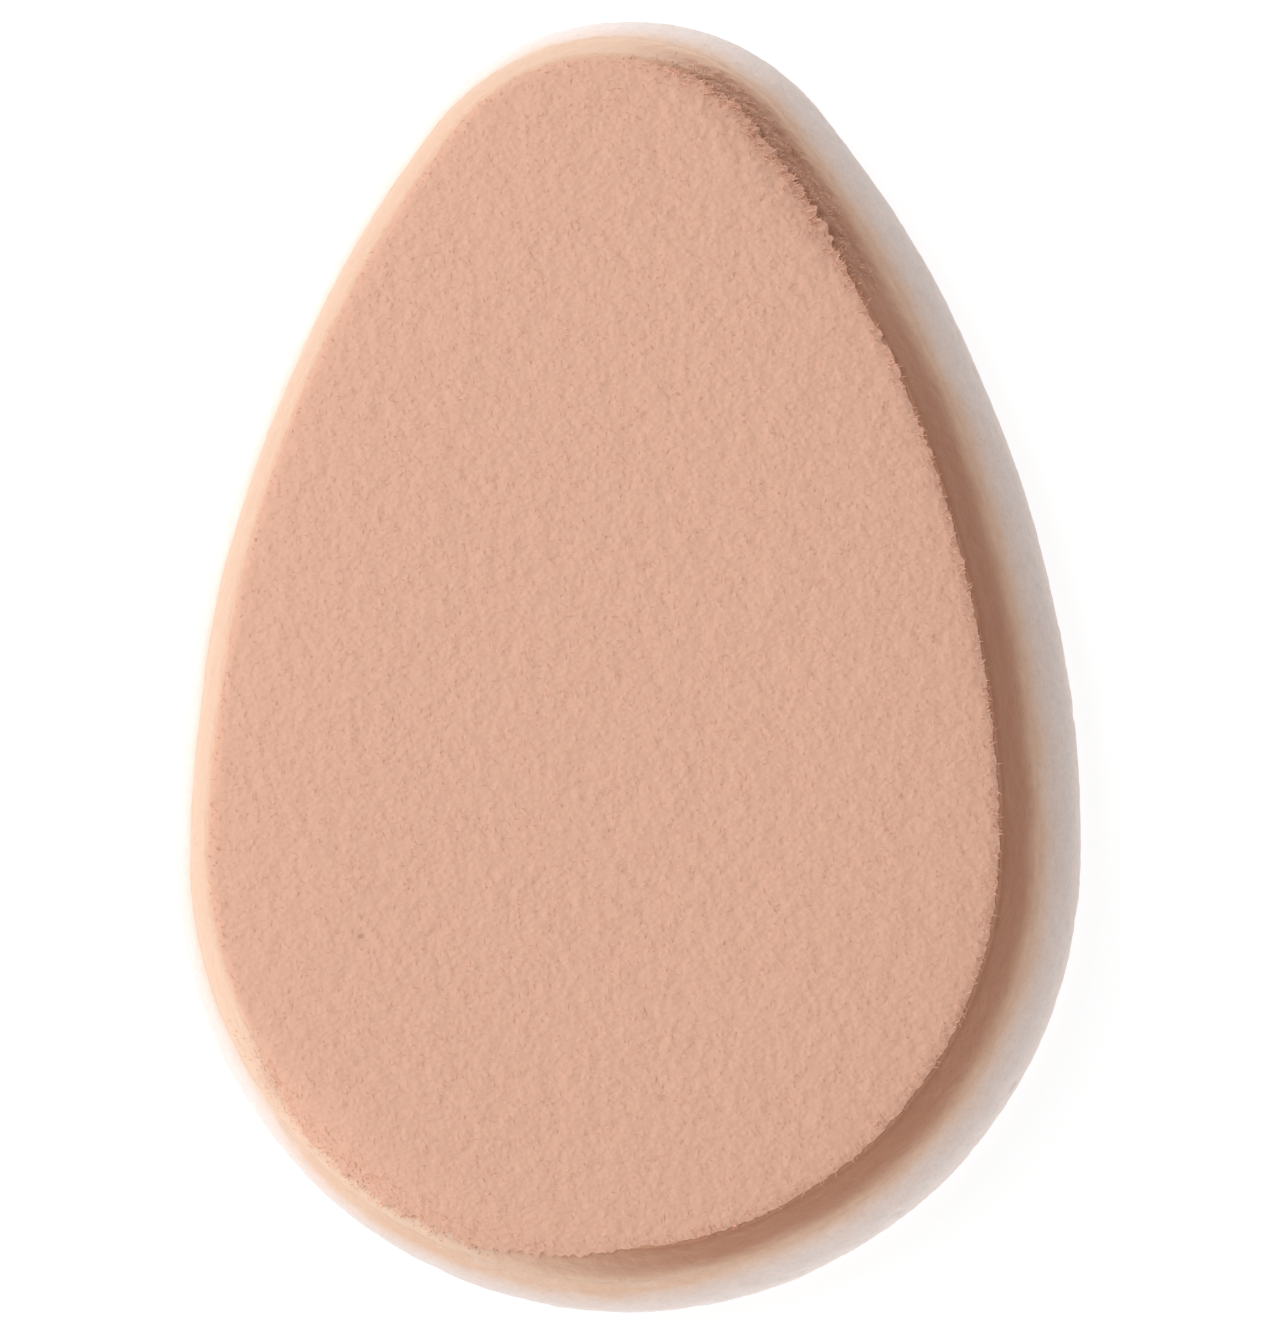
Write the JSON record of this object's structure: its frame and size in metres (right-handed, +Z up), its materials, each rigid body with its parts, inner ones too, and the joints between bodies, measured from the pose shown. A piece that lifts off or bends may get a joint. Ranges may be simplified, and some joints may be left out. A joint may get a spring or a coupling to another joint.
{
  "type": "makeup sponge",
  "caption": "Egg-shaped makeup sponge: a velvety flocked pink-beige face on bonded pink and white foam with a sloped edge, which squashes when the face is pressed.",
  "frame": {"origin": "on the underside, in the middle of the outline's length and width", "axes": "+Z up through the flocked face, +Y along the outline towards the narrow tip, +X across the width"},
  "size_m": [0.045, 0.064, 0.009],
  "materials": {
    "flock": "short velvety pile, matte",
    "flock_adhesive": "thin flexible adhesive coat, matte",
    "pink_foam": "fine-cell ground foam, matte",
    "bond_adhesive": "thin flexible adhesive film, matte",
    "white_foam": "fine-cell ground foam, matte"
  },
  "bodies": {
    "base": {"lower_foam": "white_foam"},
    "bond": {"bond_film": "bond_adhesive"},
    "face": {"upper_foam": "pink_foam", "flock_binder": "flock_adhesive", "flock_pile": "flock"}
  },
  "joints": [
    {"name": "face_press", "type": "slide", "parent": "base", "child": "face", "axis": [0, 0, -1], "range_m": [0, 0.003], "stiffness_N_per_m": 6000, "deforming": ["lower_foam", "upper_foam"]},
    {"name": "bond_sink", "type": "slide", "parent": "base", "child": "bond", "axis": [0, 0, -1], "range_m": [0, 0.002]}
  ],
  "couplings": [
    {"joint": "bond_sink", "follows": "face_press", "ratio": 0.66667}
  ]
}
